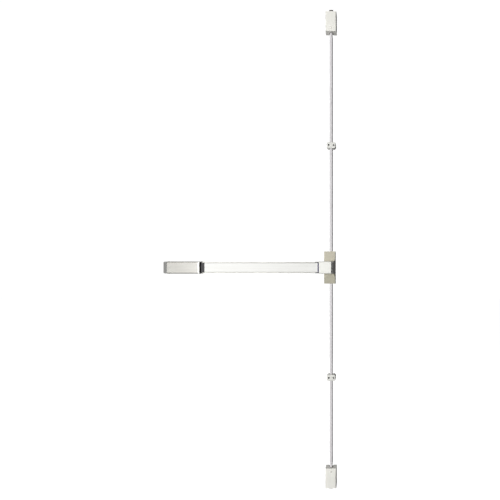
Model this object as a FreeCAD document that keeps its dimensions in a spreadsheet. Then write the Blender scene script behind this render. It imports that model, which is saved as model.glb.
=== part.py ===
import FreeCAD, Part
import math
import os
import re
import Sketcher

# A surface vertical rod exit device: a push bar across a door leaf, a centre
# case, and rods up and down the leaf to a bolt at the head and one at the sill.
# Frame: X along the bar (the bar runs to -X), Z up, the door face is y = 0 and
# the device stands on its -Y side. The origin is the middle of the case's back.

SIZES = {
    # Motion shared by the pad, the link bar, the rods and the bolts
    "travel": 14,
    "arm_length": 18,
    # Clearances
    "slide_gap": 0.3,
    "slot_gap": 0.25,
    "pivot_gap": 0.08,
    "press_gap": 0.02,
    "seat_gap": 0.1,
    # Sheet and plate thicknesses
    "plate": 3,
    "cover_wall": 2,
    "channel_wall": 2.5,
    "rail_thick": 1.5,
    "bracket_thick": 2.5,
    # Rods
    "rod_x": 6,
    "rod_stand": 16,
    "rod_across": 12,
    "stud_radius": 5,
    # Centre case
    "case_width": 50,
    "case_height": 143,
    "case_end_depth": 26,
    "case_mid_depth": 31,
    "nose_height": 54,
    "nose_wall": 1.8,
    "nose_reach": 45,
    "nose_depth": 58,
    "nose_flat": 8,
    "nose_slope_depth": 24,
    "nose_round": 6,
    "nose_flare": 10,
    "flare_start": -12,
    "case_round": 3,
    "tongue_reach": 32,
    "tongue_half": 20,
    "tab_inset": 4,
    "tab_left": 14,
    "tab_depth": 24,
    "lug_low": 45,
    "lug_high": 55,
    "lug_depth": 18,
    "case_screw_z": 50,
    "case_screw_stand": 10,
    "case_hole_x": 16,
    "case_hole_z": 34,
    # Channel, rail and pad
    "channel_inset": 41,
    "channel_right": 28,
    "channel_height": 50,
    "channel_depth": 37,
    "channel_round": 2,
    "pad_inset": 23,
    "pad_right": 50,
    "pad_height": 43.4,
    "pad_wall": 2.5,
    "pad_front": 60,
    "pad_depth": 28,
    "pad_round": 5,
    "plug_length": 21,
    "plug_step": 8,
    "plug_front": 6,
    "plug_shelf": 13,
    "plug_back": 19,
    "plug_spigot": 12,
    "plug_flange": 4,
    "lip_length": 11,
    "lip_depth": 5,
    "rail_inset": 13,
    "rail_right": 58,
    "rail_height": 40,
    "channel_screw_left": 7,
    "channel_screw_right": 12,
    "channel_screw_z": 14,
    "rivet_x": 16,
    "rivet_z": 12.8,
    "buffer_half": 5,
    "buffer_inset": 28,
    "buffer_low": 12,
    "buffer_rest": 1.5,
    # Cranks
    "left_crank_inset": 68,
    "right_crank_x": -120,
    "crank_stand": 27.8,
    "crank_hub": 7,
    "crank_pin": 4,
    "crank_arm_width": 5.6,
    "crank_arm_thick": 10,
    "crank_ear_gap": 26,
    "crank_ear_width": 16,
    "toe_radius": 3.5,
    "pad_pin": 3,
    "pad_ear_gap": 18,
    "pad_ear_half": 7,
    "crank_web_half": 20,
    "window_half": 6,
    # Link bar
    "link_stand": 9,
    "link_thick": 3,
    "link_height": 20,
    "spring_room": 52,
    "flange_front": 26,
    "fork_margin": 4,
    # Return spring at the far end of the link bar
    "stop_inset": 36,
    "spring_stand": 17.5,
    "spring_pin": 3,
    "spring_radius": 6,
    "spring_wire": 1.4,
    "spring_turns": 9,
    "stop_foot": 22,
    # Levers in the case
    "lever_x": -13,
    "lever_z": 24,
    "lever_thick": 3,
    "lever_gap": 1,
    "lever_hub": 7,
    "lever_boss": 5,
    "lever_pin": 3,
    "lever_post": 4,
    "slide_near": 41,
    "slide_drop": 14.5,
    "slide_half": 7.5,
    "tongue_width": 16,
    "nut_across": 16,
    "nut_thick": 5,
    "stud_show": 6,
    "stud_tap": 20,
    # End housing
    "housing_left": 741,
    "housing_slope": 41,
    "housing_length": 180,
    "housing_height": 53,
    "housing_wall": 1.4,
    "housing_depth": 58,
    "housing_round": 5,
    "end_inset": 6,
    "end_overlap": 14,
    "end_half": 24,
    "flange_lead": 23,
    "flange_reach": 14,
    "flange_thick": 2.4,
    "housing_screw_x": 12,
    "housing_screw_stand": 8,
    "end_hole_x": 20,
    # Latch cases
    "top_end": 1127,
    "bottom_end": 970,
    "latch_height": 84,
    "latch_width": 48,
    "latch_depth": 44,
    "latch_near_depth": 38,
    "latch_slope": 36,
    "latch_round": 4.5,
    "bolt_width": 18,
    "bolt_depth": 14,
    "top_bolt_stand": 20,
    "bottom_bolt_stand": 14,
    "bolt_body": 34,
    "bolt_bevel": 4,
    "tab_far": 3,
    "tab_near": 66,
    "collar_radius": 6,
    "collar_near": 76,
    "rod_end": 101,
    "bolt_spring_radius": 6.9,
    "bolt_spring_wire": 1.2,
    "bolt_spring_turns": 8,
    "bolt_tap": 15,
    "stud_into_rod": 18,
    "near_tab_half": 11,
    "latch_lug_half": 8,
    "latch_lug_stand": 12,
    "latch_screw_inset": 14,
    "latch_hole_x": 16,
    "latch_hole_far": 20,
    "latch_hole_near": 56,
    # Rod guides
    "upper_guide_z": 543,
    "lower_guide_z": -489,
    "guide_width": 40,
    "guide_height": 28,
    "guide_depth": 28,
    "guide_corner": 8.5,
    "guide_round": 3,
    "guide_hole_pitch": 21,
    # Fasteners
    "mount_hole": 2.8,
    "guide_hole": 2.2,
    "screw_radius": 2,
    "screw_head": 3.6,
    "screw_head_thick": 1.8,
    "rivet_radius": 1.6,
    "rivet_head": 2.4,
}

# Places worked out from the sizes, written as the document's own expressions
PLACES = {
    "case_half": "case_width / 2",
    "case_top": "case_height / 2",
    "nose_top": "nose_height / 2",
    "channel_left": "housing_left - channel_inset",
    "housing_flat": "housing_left - housing_slope",
    "housing_right": "housing_left - housing_length",
    "stop_left": "channel_left - stop_inset",
    "link_flange": "stop_left - spring_room",
    "pad_left": "housing_right - pad_inset",
    "rail_left": "housing_right - rail_inset",
    "left_crank_x": "-(pad_left - left_crank_inset)",
    "channel_back": "-plate",
    "channel_floor": "-plate - channel_wall",
    "channel_front": "-plate - channel_depth",
    "channel_top": "channel_height / 2",
    "channel_inner": "channel_height / 2 - channel_wall",
    "rail_front": "channel_floor - rail_thick",
    "web_front": "rail_front - rail_thick",
    "pad_top": "pad_height / 2",
    "pad_inner": "pad_height / 2 - pad_wall",
    "pad_inside": "-pad_front + pad_wall",
    "pad_back": "-pad_front + pad_depth",
    "half_travel": "travel / 2",
    "arm_reach": "sqrt(arm_length ^ 2 - half_travel ^ 2)",
    "arm_middle": "(arm_length + arm_reach) / 2",
    "arm_sway": "(arm_length - arm_reach) / 2",
    "link_back": "-link_stand",
    "link_front": "-link_stand - link_thick",
    "lever_back": "link_front - lever_gap",
    "lever_front": "lever_back - lever_thick",
    "crank_y": "-crank_stand",
    "crank_ear_inner": "crank_ear_gap / 2",
    "crank_ear_outer": "crank_ear_gap / 2 + bracket_thick",
    "crank_ear_front": "crank_y - crank_hub + 1",
    "pad_ear_inner": "pad_ear_gap / 2",
    "pad_ear_outer": "pad_ear_gap / 2 + bracket_thick",
    "pad_pin_y": "crank_y - half_travel",
    "fork_left": "lever_x + half_travel - lever_pin - slot_gap - fork_margin",
    "fork_right": "lever_x + half_travel + lever_pin + slot_gap + fork_margin",
    "fork_slot_top": "lever_z - arm_reach + lever_pin + slot_gap",
    "rod_pin_z": "lever_z + half_travel",
    "nose_end": "nose_flat + (case_half - nose_flat) * (nose_depth - case_mid_depth)"
                " / (nose_depth - nose_slope_depth)",
    "nose_seat": "-case_mid_depth + 5",
    "rod_y": "-rod_stand",
    "rod_corner": "rod_across / sqrt(3)",
    "notch_radius": "bolt_width / 2",
    "rod_bore": "rod_corner + slide_gap",
    "tongue_bottom": "rod_pin_z - lever_pin - slot_gap - 3",
    "slide_far": "case_top - slide_drop",
    "upper_rod_top": "top_end - rod_end",
    "lower_rod_bottom": "-bottom_end + rod_end",
    "latch_half": "latch_width / 2",
    "screw_place": "latch_height - latch_screw_inset",
    "lug_front": "rod_y - stud_radius - latch_lug_stand",
}

ALONG = {
    "x": FreeCAD.Rotation(FreeCAD.Vector(0, 1, 0), 90),
    "y": FreeCAD.Rotation(FreeCAD.Vector(1, 0, 0), -90),
    "z": FreeCAD.Rotation(),
}
PLANES = {"x": "YZ_Plane", "y": "XZ_Plane", "z": "XY_Plane"}

os.makedirs("parts", exist_ok=True)
doc = FreeCAD.newDocument("SurfaceRodExitDevice")
sheet = doc.addObject("Spreadsheet::Sheet", "Sizes")
for row, (alias, size) in enumerate(SIZES.items(), start=1):
    sheet.set("A%d" % row, alias)
    sheet.set("B%d" % row, str(size))
    sheet.setAlias("B%d" % row, alias)
doc.recompute()
nodes = {}


def sized(text):
    """Write a size or place in terms of the sheet's cells."""
    def cell(match):
        word = match.group()
        if word in PLACES:
            return "(" + sized(PLACES[word]) + ")"
        return "Sizes." + word if word in SIZES else word
    return re.sub(r"[a-z][a-z_]*", cell, str(text))


def value(text):
    """The number that an expression has now."""
    return float(sheet.evalExpression(sized(text)))


def keep(label, shape):
    """Name a finished sub-part."""
    shape.Label = label
    nodes[label] = shape
    return shape


def set_base(shape, x, y, z):
    """Tie a shape's place to the sheet."""
    for axis, text in zip("xyz", (x, y, z)):
        shape.setExpression("Placement.Base." + axis, sized(text))


def block(label, x, y, z):
    """A box between two bounds along each axis."""
    box = doc.addObject("Part::Box", label)
    set_base(box, x[0], y[0], z[0])
    for side, (low, high) in zip(("Length", "Width", "Height"), (x, y, z)):
        box.setExpression(side, sized("(%s) - (%s)" % (high, low)))
    return box


def cylinder(label, along, x, y, z, length, radius):
    """A cylinder that starts at a point and runs along one axis."""
    drum = doc.addObject("Part::Cylinder", label)
    drum.Placement = FreeCAD.Placement(FreeCAD.Vector(), ALONG[along])
    set_base(drum, x, y, z)
    drum.setExpression("Height", sized(length))
    drum.setExpression("Radius", sized(radius))
    return drum


def hexagon(label, z, length, across):
    """An upright hexagonal bar on the rod axis, with a flat to the front."""
    bar = doc.addObject("Part::Prism", label)
    bar.Polygon = 6
    set_base(bar, "rod_x", "rod_y", z)
    bar.setExpression("Height", sized(length))
    bar.setExpression("Circumradius", sized("(%s) / sqrt(3)" % across))
    return bar


def join(label, *shapes):
    """One solid from several that overlap."""
    fused = doc.addObject("Part::MultiFuse", label)
    fused.Shapes = list(shapes)
    fused.Refine = True
    return fused


def group(label, shapes):
    """Several separate solids in one sub-part."""
    compound = doc.addObject("Part::Compound", label)
    compound.Links = list(shapes)
    return compound


def cut(label, base, *tools):
    """A solid with others taken out of it."""
    result = doc.addObject("Part::Cut", label)
    result.Base = base
    result.Tool = tools[0] if len(tools) == 1 else join(label + "_tools", *tools)
    result.Refine = True
    return result


def turn(shape, axis, angle, x, y, z):
    """Place a shape that was built about its own pivot."""
    shape.Placement = FreeCAD.Placement(FreeCAD.Vector(), FreeCAD.Rotation(FreeCAD.Vector(*axis), 1))
    set_base(shape, x, y, z)
    shape.setExpression("Placement.Rotation.Angle", sized(angle))
    return shape


def section(label, normal, points, low, high, rounds=()):
    """A body: a closed outline padded between two bounds along its normal."""
    body = doc.addObject("PartDesign::Body", label)
    sketch = body.newObject("Sketcher::SketchObject", label + "_outline")
    plane = [item for item in body.Origin.OriginFeatures if item.Role == PLANES[normal]][0]
    sketch.AttachmentSupport = [(plane, "")]
    sketch.MapMode = "FlatFace"
    start = "-(%s)" % high if normal == "y" else low
    sketch.setExpression("AttachmentOffset.Base.z", sized(start))
    spots = [FreeCAD.Vector(value(across), value(up), 0) for across, up in points]
    count = len(spots)
    for index in range(count):
        sketch.addGeometry(Part.LineSegment(spots[index], spots[(index + 1) % count]), False)
    for index in range(count):
        following = (index + 1) % count
        sketch.addConstraint(Sketcher.Constraint("Coincident", index, 2, following, 1))
    for index, point in enumerate(points):
        for kind, text in zip(("DistanceX", "DistanceY"), point):
            rule = Sketcher.Constraint(kind, -1, 1, index, 1, value(text))
            number = sketch.addConstraint(rule)
            sketch.setExpression("Constraints[%d]" % number, sized(text))
    pad = body.newObject("PartDesign::Pad", label + "_pad")
    pad.Profile = sketch
    pad.setExpression("Length", sized("(%s) - (%s)" % (high, low)))
    sketch.Visibility = False
    for number, (radius, chosen) in enumerate(rounds):
        round_edges(body, "%s_round_%d" % (label, number), radius, chosen)
    return body


def round_edges(body, label, radius, chosen):
    """Round those edges of a body whose middle and direction a test accepts."""
    doc.recompute()
    base = body.Tip
    names = []
    for number, edge in enumerate(base.Shape.Edges, start=1):
        middle = edge.valueAt((edge.FirstParameter + edge.LastParameter) / 2)
        way = edge.tangentAt(edge.FirstParameter)
        if chosen(middle, way):
            names.append("Edge%d" % number)
    fillet = body.newObject("PartDesign::Fillet", label)
    fillet.Base = (base, names)
    fillet.setExpression("Radius", sized(radius))


def mirrored(sign, low, high):
    """The bounds of a piece, or of its mirror image."""
    if sign > 0:
        return (low, high)
    return ("-(%s)" % high, "-(%s)" % low)


def screw(label, along, x, y, z, sign, length, radius="screw_radius", head="screw_head"):
    """A pan head screw whose head sits at a point and whose shank runs along one axis."""
    head_thick = "screw_head_thick"
    start = {"x": x, "y": y, "z": z}
    head_low = dict(start)
    shank_low = dict(start)
    if sign > 0:
        head_low[along] = "(%s) - %s" % (start[along], head_thick)
    else:
        shank_low[along] = "(%s) - (%s)" % (start[along], length)
    top = cylinder(label + "_head", along, head_low["x"], head_low["y"], head_low["z"], head_thick, head)
    shank = cylinder(label + "_shank", along, shank_low["x"], shank_low["y"], shank_low["z"], length, radius)
    return join(label, top, shank)


def coil(label, along, x, y, z, length, radius, wire, turns):
    """A compression spring as one unbroken wire about an axis."""
    helix = doc.addObject("Part::Helix", label + "_path")
    helix.Placement = FreeCAD.Placement(FreeCAD.Vector(), ALONG[along])
    set_base(helix, x, y, z)
    helix.setExpression("Height", sized(length))
    helix.setExpression("Pitch", sized("(%s) / %s" % (length, turns)))
    helix.setExpression("Radius", sized(radius))
    circle = doc.addObject("Part::Circle", label + "_wire")
    upright = FreeCAD.Rotation(FreeCAD.Vector(1, 0, 0), 90)
    circle.Placement = FreeCAD.Placement(FreeCAD.Vector(), ALONG[along].multiply(upright))
    if along == "x":
        set_base(circle, x, y, "(%s) - %s" % (z, radius))
    else:
        set_base(circle, "(%s) + %s" % (x, radius), y, z)
    circle.setExpression("Radius", sized("%s / 2" % wire))
    sweep = doc.addObject("Part::Sweep", label)
    sweep.Sections = [circle]
    sweep.Spine = (helix, [])
    sweep.Solid = True
    sweep.Frenet = True
    return sweep


# Centre case: chassis with end tabs, side lugs and a tongue under the channel
def head_chassis():
    back = ("-plate", "0")
    plate = block("chassis_plate", ("-case_half + cover_wall + slide_gap",
                                    "case_half - cover_wall - slide_gap"),
                  back, ("-case_top + tab_inset", "case_top - tab_inset"))
    tongue = block("chassis_tongue", ("-channel_right - tongue_reach", "0"), back,
                   ("-tongue_half", "tongue_half"))
    solids = [plate, tongue]
    tools = []
    for name, sign in (("upper", 1), ("lower", -1)):
        tab = block("chassis_%s_tab" % name, ("-tab_left", "case_half - cover_wall - 1"), ("-tab_depth", "0"),
                    mirrored(sign, "case_top - tab_inset - plate", "case_top - tab_inset"))
        solids.append(tab)
        tools.append(cylinder("chassis_%s_bore" % name, "z", "rod_x", "rod_y",
                              "%d * case_top - 10" % sign, "20", "rod_bore"))
        for side in (-1, 1):
            place = "%s_%s" % (name, "left" if side < 0 else "right")
            lug_x = mirrored(side, "case_half - cover_wall - slide_gap - bracket_thick",
                             "case_half - cover_wall - slide_gap")
            solids.append(block("chassis_lug_" + place, lug_x, ("-lug_depth", "0"),
                                mirrored(sign, "lug_low", "lug_high")))
            tools.append(cylinder("chassis_tap_" + place, "x", lug_x[0], "-case_screw_stand",
                                  "%d * case_screw_z" % sign, "bracket_thick", "screw_radius + press_gap"))
            tools.append(cylinder("chassis_hole_" + place, "y", "%d * case_hole_x" % side, "-plate",
                                  "%d * case_hole_z" % sign, "plate", "mount_hole"))
        tools.append(cylinder("chassis_post_%s" % name, "y", "lever_x", "-plate",
                              "%d * lever_z" % sign, "plate", "lever_post + press_gap"))
        tools.append(cylinder("chassis_channel_tap_%s" % name, "y", "-channel_right - channel_screw_right",
                              "-plate", "%d * channel_screw_z" % sign, "plate", "screw_radius + press_gap"))
    keep("head_chassis", cut("head_chassis", join("chassis_solid", *solids), *tools))


# Case cover: a plate that slopes to its ends and a nose over the channel's end
def nose_flares(name):
    """The hollow curves between nose and plate, which widen from a point to the right edge."""
    grown = value("nose_flare / (case_half - flare_start)") * math.sqrt(2)
    tilt = math.atan(grown)
    reach = value("case_half + 2 - flare_start") / math.cos(tilt)
    radius = reach * math.tan(math.asin(math.sin(tilt) / math.sqrt(2)))
    flares = []
    for side, sign in (("upper", 1), ("lower", -1)):
        corner = FreeCAD.Vector(value("flare_start"), value("-case_mid_depth"), sign * value("nose_top"))
        way = FreeCAD.Vector(math.cos(tilt), -math.sin(tilt) / math.sqrt(2),
                             sign * math.sin(tilt) / math.sqrt(2))
        hollow = doc.addObject("Part::Cone", "%s_%s_hollow" % (name, side))
        hollow.Radius1 = 0
        hollow.Radius2 = radius
        hollow.Height = reach
        hollow.Placement = FreeCAD.Placement(corner, FreeCAD.Rotation(FreeCAD.Vector(0, 0, 1), way))
        depth = ("-case_mid_depth - nose_flare", "-case_mid_depth + 1")
        strip = block("%s_%s_strip" % (name, side), ("flare_start", "case_half"), depth,
                      mirrored(sign, "nose_top - 1", "nose_top + nose_flare"))
        beyond = section("%s_%s_spare" % (name, side), "y",
                         [("flare_start", "%d * nose_top" % sign),
                          ("case_half + 1", "%d * (nose_top + nose_flare)" % sign),
                          ("case_half + 1", "%d * (nose_top + 2 * nose_flare)" % sign),
                          ("flare_start", "%d * (nose_top + 2 * nose_flare)" % sign)],
                         "-case_mid_depth - 2 * nose_flare", "-case_mid_depth + 2")
        front = section("%s_%s_front" % (name, side), "z",
                        [("flare_start", "-case_mid_depth"),
                         ("case_half + 1", "-case_mid_depth - nose_flare"),
                         ("case_half + 1", "-case_mid_depth - 2 * nose_flare"),
                         ("flare_start", "-case_mid_depth - 2 * nose_flare")],
                        mirrored(sign, "nose_top - 2", "nose_top + 2 * nose_flare")[0],
                        mirrored(sign, "nose_top - 2", "nose_top + 2 * nose_flare")[1])
        flares.append(cut("%s_%s_flare" % (name, side), strip, hollow, beyond, front))
    return flares


def case_solid(name, shrink, back, round_size):
    """The case's outline, deepest along its middle, as seen from the side."""
    half = "case_half - %s" % shrink
    top = "case_top - %s" % shrink
    end_y = "-case_end_depth + %s" % shrink
    mid_y = "-case_mid_depth + %s" % shrink
    outline = [(back, "-(%s)" % top), (end_y, "-(%s)" % top), (mid_y, "-nose_top"),
               (mid_y, "nose_top"), (end_y, top), (back, top)]
    front = value(end_y) + 0.5
    return section(name, "x", outline, "-(%s)" % half, half,
                   [(round_size, lambda middle, way: abs(middle.x) > value(half) - 0.1
                     and middle.y < front and abs(way.x) < 0.1)])


def slope_cut(name, flat_x, front_y, half):
    """Everything in front of the nose's sloped end, as high as the flares reach."""
    outline = [(flat_x, front_y), (half, "-nose_slope_depth"), ("case_width", "-nose_slope_depth"),
               ("case_width", "-2 * nose_depth"), (flat_x, "-2 * nose_depth")]
    return section(name, "z", outline, "-nose_top - nose_flare", "nose_top + nose_flare")


def head_cover():
    flares = nose_flares("cover")
    outer = cut("cover_outer", join("cover_solid", case_solid("cover_case", "0", "0", "case_round"), *flares),
                slope_cut("cover_beyond", "nose_flat", "-nose_depth", "case_half"))
    inner = cut("cover_inner", case_solid("cover_hollow", "cover_wall", "1", "1"),
                slope_cut("cover_inner_beyond", "nose_flat - cover_wall", "-nose_depth",
                          "case_half - cover_wall"))
    opening = ("-nose_top - seat_gap", "nose_top + seat_gap")
    before = "-2 * nose_depth"
    shell = cut("cover_shell", outer, inner)
    tools = [block("cover_left_window", ("-case_half - 1", "-case_half + cover_wall + 1"), (before, "1"),
                   opening),
             block("cover_front_window", ("-case_half - 1", "nose_end + seat_gap"), (before, "nose_seat + 1"),
                   opening)]
    for name, sign in (("upper", 1), ("lower", -1)):
        wall = mirrored(sign, "case_top - cover_wall - 1", "case_top + 1")
        tools.append(block("cover_notch_" + name, ("rod_x - notch_radius", "rod_x + notch_radius"),
                           ("rod_y", "1"), wall))
        tools.append(cylinder("cover_arch_" + name, "z", "rod_x", "rod_y", wall[0],
                              "cover_wall + 2", "notch_radius"))
        for side in (-1, 1):
            place = "%s_%s" % (name, "left" if side < 0 else "right")
            hole = mirrored(side, "case_half - cover_wall - 1", "case_half + 1")
            tools.append(cylinder("cover_hole_" + place, "x", hole[0], "-case_screw_stand",
                                  "%d * case_screw_z" % sign, "cover_wall + 2", "screw_radius + seat_gap"))
    keep("head_cover", cut("head_cover", shell, *tools))
    screws = []
    for sign in (-1, 1):
        for side in (-1, 1):
            screws.append(screw("cover_screw_%d" % (len(screws) + 1), "x", "%d * case_half" % side,
                                "-case_screw_stand", "%d * case_screw_z" % sign, -side,
                                "cover_wall + slide_gap + bracket_thick"))
    keep("head_cover_screws", group("head_cover_screws", screws))


def nose_cover():
    """The cap over the channel's end, seated in the window of the case cover."""
    front = "-nose_depth"
    left = "-case_half - seat_gap"
    outer_plan = [("-nose_reach", "0"), ("-nose_reach", front), ("nose_flat", front),
                  ("nose_end", "-case_mid_depth"), ("nose_end", "nose_seat"), (left, "nose_seat"), (left,
                                                                                                    "0")]
    outer = section("nose_outer", "z", outer_plan, "-nose_top", "nose_top",
                    [("nose_round", lambda middle, way: abs(middle.z) > value("nose_top") - 0.1
                      and middle.y < value(front) + 0.1)])
    inside = "-nose_depth + nose_wall"
    inner_end = "nose_end - nose_wall"
    inner_plan = [("-nose_reach - 1", "1"), ("-nose_reach - 1", inside),
                  ("nose_flat - nose_wall / 2", inside),
                  (inner_end, "-case_mid_depth"), (inner_end, "nose_seat + 1"),
                  ("-case_half + 1", "nose_seat + 1"), ("-case_half + 1", "1")]
    inner_top = "nose_top - nose_wall"
    inner = section("nose_inner", "z", inner_plan, "-(%s)" % inner_top, inner_top,
                    [("nose_round - nose_wall", lambda middle, way: abs(middle.z) > value(inner_top) - 0.1
                      and middle.y < value(inside) + 0.1)])
    keep("nose_cover", cut("nose_cover", outer, inner))


# Levers that turn the link bar's stroke up and down into the rods
def lever(name, sign):
    hub = cylinder(name + "_hub", "y", "0", "lever_front", "0", "lever_thick", "lever_hub")
    arm_half = "lever_boss - 1"
    rod_arm = block(name + "_rod_arm", ("0", "arm_length"), ("lever_front", "lever_back"),
                    ("-(%s)" % arm_half, arm_half))
    link_arm = block(name + "_link_arm", ("-(%s)" % arm_half, arm_half), ("lever_front", "lever_back"),
                     mirrored(-sign, "0", "arm_length"))
    rod_boss = cylinder(name + "_rod_boss", "y", "arm_length", "lever_front", "0", "lever_thick",
                        "lever_boss")
    link_boss = cylinder(name + "_link_boss", "y", "0", "lever_front", "%d * arm_length" % -sign,
                         "lever_thick", "lever_boss")
    bore = cylinder(name + "_bore", "y", "0", "lever_front - 1", "0", "lever_thick + 2",
                    "lever_post + pivot_gap")
    eyes = [cylinder(name + "_rod_eye", "y", "arm_length", "lever_front - 1", "0", "lever_thick + 2",
                     "lever_pin + press_gap"),
            cylinder(name + "_link_eye", "y", "0", "lever_front - 1", "%d * arm_length" % -sign,
                     "lever_thick + 2", "lever_pin + press_gap")]
    arms = join(name + "_arms", hub, rod_arm, link_arm, rod_boss, link_boss)
    swing = "%d * asin(half_travel / arm_length)" % -sign
    place = ((0, 1, 0), swing, "lever_x", "0", "%d * lever_z" % sign)
    keep(name, turn(cut(name, arms, bore, *eyes), *place))
    reach = "link_back - lever_front + 0.5"
    pins = group(name + "_pins", [
        cylinder(name + "_rod_pin", "y", "arm_length", "lever_front", "0", reach, "lever_pin"),
        cylinder(name + "_link_pin", "y", "0", "lever_front", "%d * arm_length" % -sign, reach, "lever_pin")])
    keep(name + "_pins", turn(pins, *place))


def lever_posts():
    posts = []
    clips = []
    for name, sign in (("upper", 1), ("lower", -1)):
        z = "%d * lever_z" % sign
        shank = cylinder("post_shank_" + name, "y", "lever_x", "lever_front - 2.5", z,
                         "-lever_front + 2.5", "lever_post")
        shoulder = cylinder("post_shoulder_" + name, "y", "lever_x", "lever_back + seat_gap", z,
                            "-lever_back - seat_gap - plate", "lever_post + 2")
        posts.append(join("post_" + name, shank, shoulder))
        ring = cylinder("clip_ring_" + name, "y", "lever_x", "lever_front - 1.3", z, "1.1", "lever_hub - 0.5")
        hole = cylinder("clip_hole_" + name, "y", "lever_x", "lever_front - 2", z, "3",
                        "lever_post + press_gap")
        mouth = block("clip_mouth_" + name, ("lever_x - 10", "lever_x"), ("lever_front - 2", "lever_front"),
                      ("%s - 1.5" % z, "%s + 1.5" % z))
        clips.append(cut("clip_" + name, ring, hole, mouth))
    keep("lever_posts", group("lever_posts", posts))
    keep("lever_clips", group("lever_clips", clips))


# Slide block on the inner end of each rod, with a slotted tongue for its lever
def rod_slide(name, sign):
    body = block(name + "_block", ("rod_x - slide_half", "rod_x + slide_half"),
                 ("rod_y - slide_half", "link_back"),
                 mirrored(sign, "slide_near", "slide_far"))
    tongue = block(name + "_tongue", ("lever_x + arm_middle - tongue_width / 2",
                                        "lever_x + arm_middle + tongue_width / 2"),
                   ("link_front", "link_back"), mirrored(sign, "tongue_bottom", "slide_near + 4"))
    half = "arm_sway + lever_pin + slot_gap"
    slot = block(name + "_slot", ("lever_x + arm_middle - (%s)" % half, "lever_x + arm_middle + (%s)" % half),
                 ("link_front - 1", "link_back + 1"),
                 mirrored(sign, "rod_pin_z - lever_pin - slot_gap", "rod_pin_z + lever_pin + slot_gap"))
    tap_z = mirrored(sign, "slide_near - 1", "slide_far + 1")
    tap = cylinder(name + "_tap", "z", "rod_x", "rod_y", tap_z[0], "slide_far - slide_near + 2",
                   "stud_radius + press_gap")
    keep(name, cut(name, join(name + "_solid", body, tongue), slot, tap))


# Push bar: channel, inner rail and the sprung pad
def channel():
    back = "channel_back"
    outline = [(back, "-channel_top"), ("channel_front", "-channel_top"), ("channel_front", "-channel_inner"),
               ("channel_floor", "-channel_inner"), ("channel_floor", "channel_inner"),
               ("channel_front", "channel_inner"), ("channel_front", "channel_top"), (back, "channel_top")]
    rail = section("channel_rail", "x", outline, "-channel_left", "-channel_right",
                   [("channel_round", lambda middle, way: abs(way.x) > 0.9
                     and middle.y > value(back) - 0.1)])
    tools = []
    screws = []
    taps = []
    for end, x in (("left", "-channel_left + channel_screw_left"),
                   ("right", "-channel_right - channel_screw_right")):
        for sign in (-1, 1):
            tag = "%s_%d" % (end, len(screws) + 1)
            z = "%d * channel_screw_z" % sign
            tools.append(cylinder("channel_hole_" + tag, "y", x, "channel_floor - 1", z, "channel_wall + 2",
                                  "screw_radius + seat_gap"))
            screws.append(screw("channel_screw_" + tag, "y", x, "channel_floor", z, 1,
                                "channel_wall + plate - 0.5"))
    for x in ("left_crank_x", "right_crank_x"):
        taps += rivet_holes("channel_%s" % x, x, "channel_floor", "channel_wall")
    keep("channel", cut("channel", rail, *tools, *taps))
    keep("channel_screws", group("channel_screws", screws))


def rivet_spots(x):
    return [("%s + %d * rivet_x" % (x, side), "%d * rivet_z" % sign) for side in (-1, 1) for sign in (-1, 1)]


def rivet_holes(name, x, front, thick):
    holes = []
    for spot_x, spot_z in rivet_spots(x):
        holes.append(cylinder("%s_rivet_%d" % (name, len(holes) + 1), "y", spot_x, "%s - 1" % front, spot_z,
                              "%s + 2" % thick, "rivet_radius + press_gap"))
    return holes


def toe_window(name, x, front, thick, margin):
    """The opening that a crank's toe sweeps through in a plate behind it."""
    half = "half_travel + toe_radius + %s" % margin
    return block(name, ("%s - (%s)" % (x, half), "%s + (%s)" % (x, half)),
                 ("%s - 1" % front, "%s + %s + 1" % (front, thick)), ("-window_half", "window_half"))


def base_rail():
    plate = block("rail_plate", ("-rail_left", "-rail_right"), ("rail_front", "channel_floor"),
                  ("-rail_height / 2", "rail_height / 2"))
    tools = []
    for name, x in (("left", "left_crank_x"), ("right", "right_crank_x")):
        tools.append(toe_window("rail_window_" + name, x, "rail_front", "rail_thick", "1.5"))
        tools += rivet_holes("rail_" + name, x, "rail_front", "rail_thick")
    keep("base_rail", cut("base_rail", plate, *tools))
    buffers = []
    for x in ("-pad_left + buffer_inset", "-pad_right - buffer_inset"):
        for sign in (-1, 1):
            buffers.append(block("buffer_%d" % (len(buffers) + 1),
                                 ("%s - buffer_half" % x, "%s + buffer_half" % x),
                                 ("pad_inside + travel + buffer_rest", "rail_front"),
                                 mirrored(sign, "buffer_low", "pad_inner - 1")))
    keep("pad_buffers", group("pad_buffers", buffers))


def push_pad():
    top, inner = "pad_top", "pad_inner"
    outline = [("pad_back", "-" + top), ("-pad_front", "-" + top), ("-pad_front", top), ("pad_back", top),
               ("pad_back", inner), ("pad_inside", inner), ("pad_inside", "-" + inner),
               ("pad_back", "-" + inner)]
    front = value("-pad_front") + 0.1
    inside = value("pad_inside")
    keep("push_pad", section("push_pad", "x", outline, "-pad_left", "-pad_right", [
        ("pad_round", lambda middle, way: abs(way.x) > 0.9 and middle.y < front),
        ("pad_round - pad_wall", lambda middle, way: abs(way.x) > 0.9
         and abs(middle.y - inside) < 0.1)]))


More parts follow.
